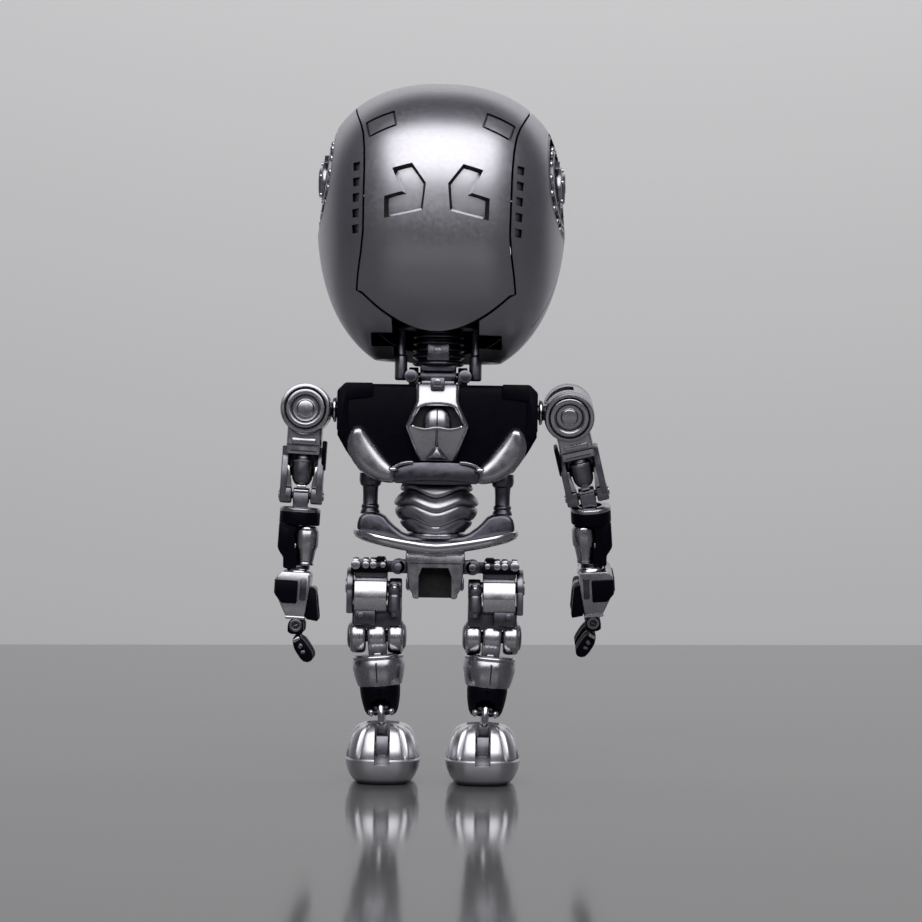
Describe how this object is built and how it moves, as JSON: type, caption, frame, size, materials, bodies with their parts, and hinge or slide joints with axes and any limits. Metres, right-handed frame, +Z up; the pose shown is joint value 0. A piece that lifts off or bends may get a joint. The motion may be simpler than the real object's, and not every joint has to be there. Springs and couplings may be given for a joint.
{
  "type": "humanoid robot figure",
  "caption": "Posable desktop humanoid robot with a large plated head, slim jointed limbs, a ribbed waist and broad feet.",
  "frame": {"origin": "bottom centre of the bounding box, on the floor under the head, between the feet", "axes": "+Z up; the robot faces -Y and its left side is at +X"},
  "size_m": [0.0678, 0.0522, 0.1392],
  "materials": {
    "head_silver": "silver metallic lacquer on moulded plastic",
    "plated_silver": "satin silver plating on die-cast metal",
    "bright_chrome": "bright chrome plating",
    "gunmetal": "dark gunmetal lacquer",
    "gloss_black": "black gloss moulding",
    "lens_glass": "dark tinted lens"
  },
  "bodies": {
    "torso": {"chest_block": "gloss_black", "spine_plate": "plated_silver", "rib_yoke": "plated_silver", "waist_bellows": "plated_silver", "left_waist_strut": "gunmetal", "right_waist_strut": "gunmetal", "pelvis_wings": "plated_silver", "pelvis_block": "plated_silver"},
    "neck": {"neck_column": "gunmetal", "left_neck_strut": "plated_silver", "right_neck_strut": "plated_silver"},
    "head": {"crown_shell": "head_silver", "left_side_shell": "head_silver", "left_ear_pod": "gunmetal", "right_side_shell": "head_silver", "right_ear_pod": "gunmetal", "face_mask": "head_silver", "left_eye_lens": "lens_glass", "right_eye_lens": "lens_glass", "head_base": "gloss_black"},
    "left_shoulder": {"left_shoulder_axle": "bright_chrome"},
    "left_upper_arm": {"left_shoulder_drum": "plated_silver", "left_shoulder_cap": "gunmetal", "left_upper_arm_frame": "plated_silver", "left_upper_arm_ram": "gunmetal"},
    "left_elbow": {"left_elbow_block": "plated_silver"},
    "left_forearm": {"left_forearm_shell": "gloss_black", "left_forearm_ram": "plated_silver"},
    "left_hand": {"left_hand_bracket": "plated_silver"},
    "left_fingers": {"left_finger_knuckles": "gloss_black"},
    "left_fingertips": {"left_fingertips": "gloss_black"},
    "left_thumb": {"left_thumb": "gloss_black"},
    "left_hip": {"left_hip_block": "gunmetal"},
    "left_thigh": {"left_thigh_frame": "plated_silver", "left_thigh_cover": "bright_chrome", "left_thigh_ram": "plated_silver"},
    "left_shin": {"left_shin_sleeve": "plated_silver", "left_shin_boot": "gloss_black"},
    "left_ankle": {"left_ankle_link": "bright_chrome"},
    "left_foot": {"left_foot": "plated_silver"},
    "right_shoulder": {"right_shoulder_axle": "bright_chrome"},
    "right_upper_arm": {"right_shoulder_drum": "plated_silver", "right_shoulder_cap": "gunmetal", "right_upper_arm_frame": "plated_silver", "right_upper_arm_ram": "gunmetal"},
    "right_elbow": {"right_elbow_block": "plated_silver"},
    "right_forearm": {"right_forearm_shell": "gloss_black", "right_forearm_ram": "plated_silver"},
    "right_hand": {"right_hand_bracket": "plated_silver"},
    "right_fingers": {"right_finger_knuckles": "gloss_black"},
    "right_fingertips": {"right_fingertips": "gloss_black"},
    "right_thumb": {"right_thumb": "gloss_black"},
    "right_hip": {"right_hip_block": "gunmetal"},
    "right_thigh": {"right_thigh_frame": "plated_silver", "right_thigh_cover": "bright_chrome", "right_thigh_ram": "plated_silver"},
    "right_shin": {"right_shin_sleeve": "plated_silver", "right_shin_boot": "gloss_black"},
    "right_ankle": {"right_ankle_link": "bright_chrome"},
    "right_foot": {"right_foot": "plated_silver"}
  },
  "joints": [
    {"name": "neck_pitch", "type": "hinge", "parent": "torso", "child": "neck", "pos_m": [0.00216, 0.00016, 0.081], "axis": [1, 0, 0], "range_deg": [-12, 12]},
    {"name": "head_yaw", "type": "hinge", "parent": "neck", "child": "head", "pos_m": [0.00216, 0.00016, 0.0942], "axis": [0, 0, 1], "range_deg": [-60, 60]},
    {"name": "left_shoulder_swing", "type": "hinge", "parent": "torso", "child": "left_shoulder", "pos_m": [0.02236, 0.00016, 0.0744], "axis": [1, 0, 0], "range_deg": [-90, 60]},
    {"name": "left_shoulder_raise", "type": "hinge", "parent": "left_shoulder", "child": "left_upper_arm", "pos_m": [0.02836, 0.00016, 0.0744], "axis": [0, -1, 0], "range_deg": [-1.8, 77.2]},
    {"name": "left_elbow", "type": "hinge", "parent": "left_upper_arm", "child": "left_elbow", "pos_m": [0.02921, 0.00016, 0.05702], "axis": [-0.9988, 0, -0.0489], "range_deg": [0, 90]},
    {"name": "left_forearm_tilt", "type": "hinge", "parent": "left_elbow", "child": "left_forearm", "pos_m": [0.02938, 0.00016, 0.05362], "axis": [0, -1, 0], "range_deg": [-10, 10]},
    {"name": "left_wrist", "type": "hinge", "parent": "left_forearm", "child": "left_hand", "pos_m": [0.02995, 0.00016, 0.04194], "axis": [-0.0489, 0, 0.9988], "range_deg": [-90, 90]},
    {"name": "left_knuckles", "type": "hinge", "parent": "left_hand", "child": "left_fingers", "pos_m": [0.02967, 0.00016, 0.03131], "axis": [0, 1, 0], "range_deg": [-8, 40]},
    {"name": "left_fingertip_curl", "type": "hinge", "parent": "left_fingers", "child": "left_fingertips", "pos_m": [0.0295, 0.00016, 0.0285], "axis": [0, 1, 0], "range_deg": [-6, 28]},
    {"name": "left_thumb_swing", "type": "hinge", "parent": "left_hand", "child": "left_thumb", "pos_m": [0.02685, 0.00016, 0.03778], "axis": [0, 1, 0], "range_deg": [0, 25]},
    {"name": "left_hip_raise", "type": "hinge", "parent": "torso", "child": "left_hip", "pos_m": [0.00956, 0.00016, 0.0432], "axis": [0, -1, 0], "range_deg": [0, 20]},
    {"name": "left_hip_swing", "type": "hinge", "parent": "left_hip", "child": "left_thigh", "pos_m": [0.01366, 0.00016, 0.0392], "axis": [1, 0, 0], "range_deg": [-70, 20]},
    {"name": "left_knee", "type": "hinge", "parent": "left_thigh", "child": "left_shin", "pos_m": [0.01366, 0.00016, 0.0292], "axis": [0.9972, 0, -0.075], "range_deg": [0, 70]},
    {"name": "left_ankle_pitch", "type": "hinge", "parent": "left_shin", "child": "left_ankle", "pos_m": [0.01256, 0.00016, 0.01464], "axis": [0.9972, 0, -0.075], "range_deg": [-18, 18]},
    {"name": "left_ankle_roll", "type": "hinge", "parent": "left_ankle", "child": "left_foot", "pos_m": [0.01212, 0.00016, 0.00876], "axis": [0, -1, 0], "range_deg": [-10, 10]},
    {"name": "right_shoulder_swing", "type": "hinge", "parent": "torso", "child": "right_shoulder", "pos_m": [-0.01804, 0.00016, 0.0744], "axis": [1, 0, 0], "range_deg": [-76, 74]},
    {"name": "right_shoulder_raise", "type": "hinge", "parent": "right_shoulder", "child": "right_upper_arm", "pos_m": [-0.02404, 0.00016, 0.0744], "axis": [0, 0.9703, -0.2419], "range_deg": [-12.7, 66.3]},
    {"name": "right_elbow", "type": "hinge", "parent": "right_upper_arm", "child": "right_elbow", "pos_m": [-0.02816, -0.00393, 0.058], "axis": [-0.9715, 0.0573, 0.2298], "range_deg": [0, 90]},
    {"name": "right_forearm_tilt", "type": "hinge", "parent": "right_elbow", "child": "right_forearm", "pos_m": [-0.02897, -0.00473, 0.05479], "axis": [0, 0.9703, -0.2419], "range_deg": [-0.6, 19.4]},
    {"name": "right_wrist", "type": "hinge", "parent": "right_forearm", "child": "right_hand", "pos_m": [-0.02984, -0.00755, 0.04347], "axis": [-0.075, -0.2412, -0.9676], "range_deg": [-90, 90]},
    {"name": "right_knuckles", "type": "hinge", "parent": "right_hand", "child": "right_fingers", "pos_m": [-0.02984, -0.01012, 0.03316], "axis": [0, -0.9703, 0.2419], "range_deg": [-8, 40]},
    {"name": "right_fingertip_curl", "type": "hinge", "parent": "right_fingers", "child": "right_fingertips", "pos_m": [-0.02975, -0.0108, 0.03043], "axis": [0, -0.9703, 0.2419], "range_deg": [-6, 28]},
    {"name": "right_thumb_swing", "type": "hinge", "parent": "right_hand", "child": "right_thumb", "pos_m": [-0.02685, -0.00858, 0.03936], "axis": [0, -0.9703, 0.2419], "range_deg": [0, 25]},
    {"name": "right_hip_raise", "type": "hinge", "parent": "torso", "child": "right_hip", "pos_m": [-0.00524, 0.00016, 0.0432], "axis": [0, 1, 0], "range_deg": [0, 20]},
    {"name": "right_hip_swing", "type": "hinge", "parent": "right_hip", "child": "right_thigh", "pos_m": [-0.00934, 0.00016, 0.0392], "axis": [1, 0, 0], "range_deg": [-70, 20]},
    {"name": "right_knee", "type": "hinge", "parent": "right_thigh", "child": "right_shin", "pos_m": [-0.00934, 0.00016, 0.0292], "axis": [0.9972, 0, 0.075], "range_deg": [0, 70]},
    {"name": "right_ankle_pitch", "type": "hinge", "parent": "right_shin", "child": "right_ankle", "pos_m": [-0.00825, 0.00016, 0.01464], "axis": [0.9972, 0, 0.075], "range_deg": [-18, 18]},
    {"name": "right_ankle_roll", "type": "hinge", "parent": "right_ankle", "child": "right_foot", "pos_m": [-0.0078, 0.00016, 0.00876], "axis": [0, 1, 0], "range_deg": [-10, 10]}
  ],
  "couplings": [
    {"joint": "left_fingertip_curl", "follows": "left_knuckles", "ratio": 0.7},
    {"joint": "right_fingertip_curl", "follows": "right_knuckles", "ratio": 0.7}
  ]
}
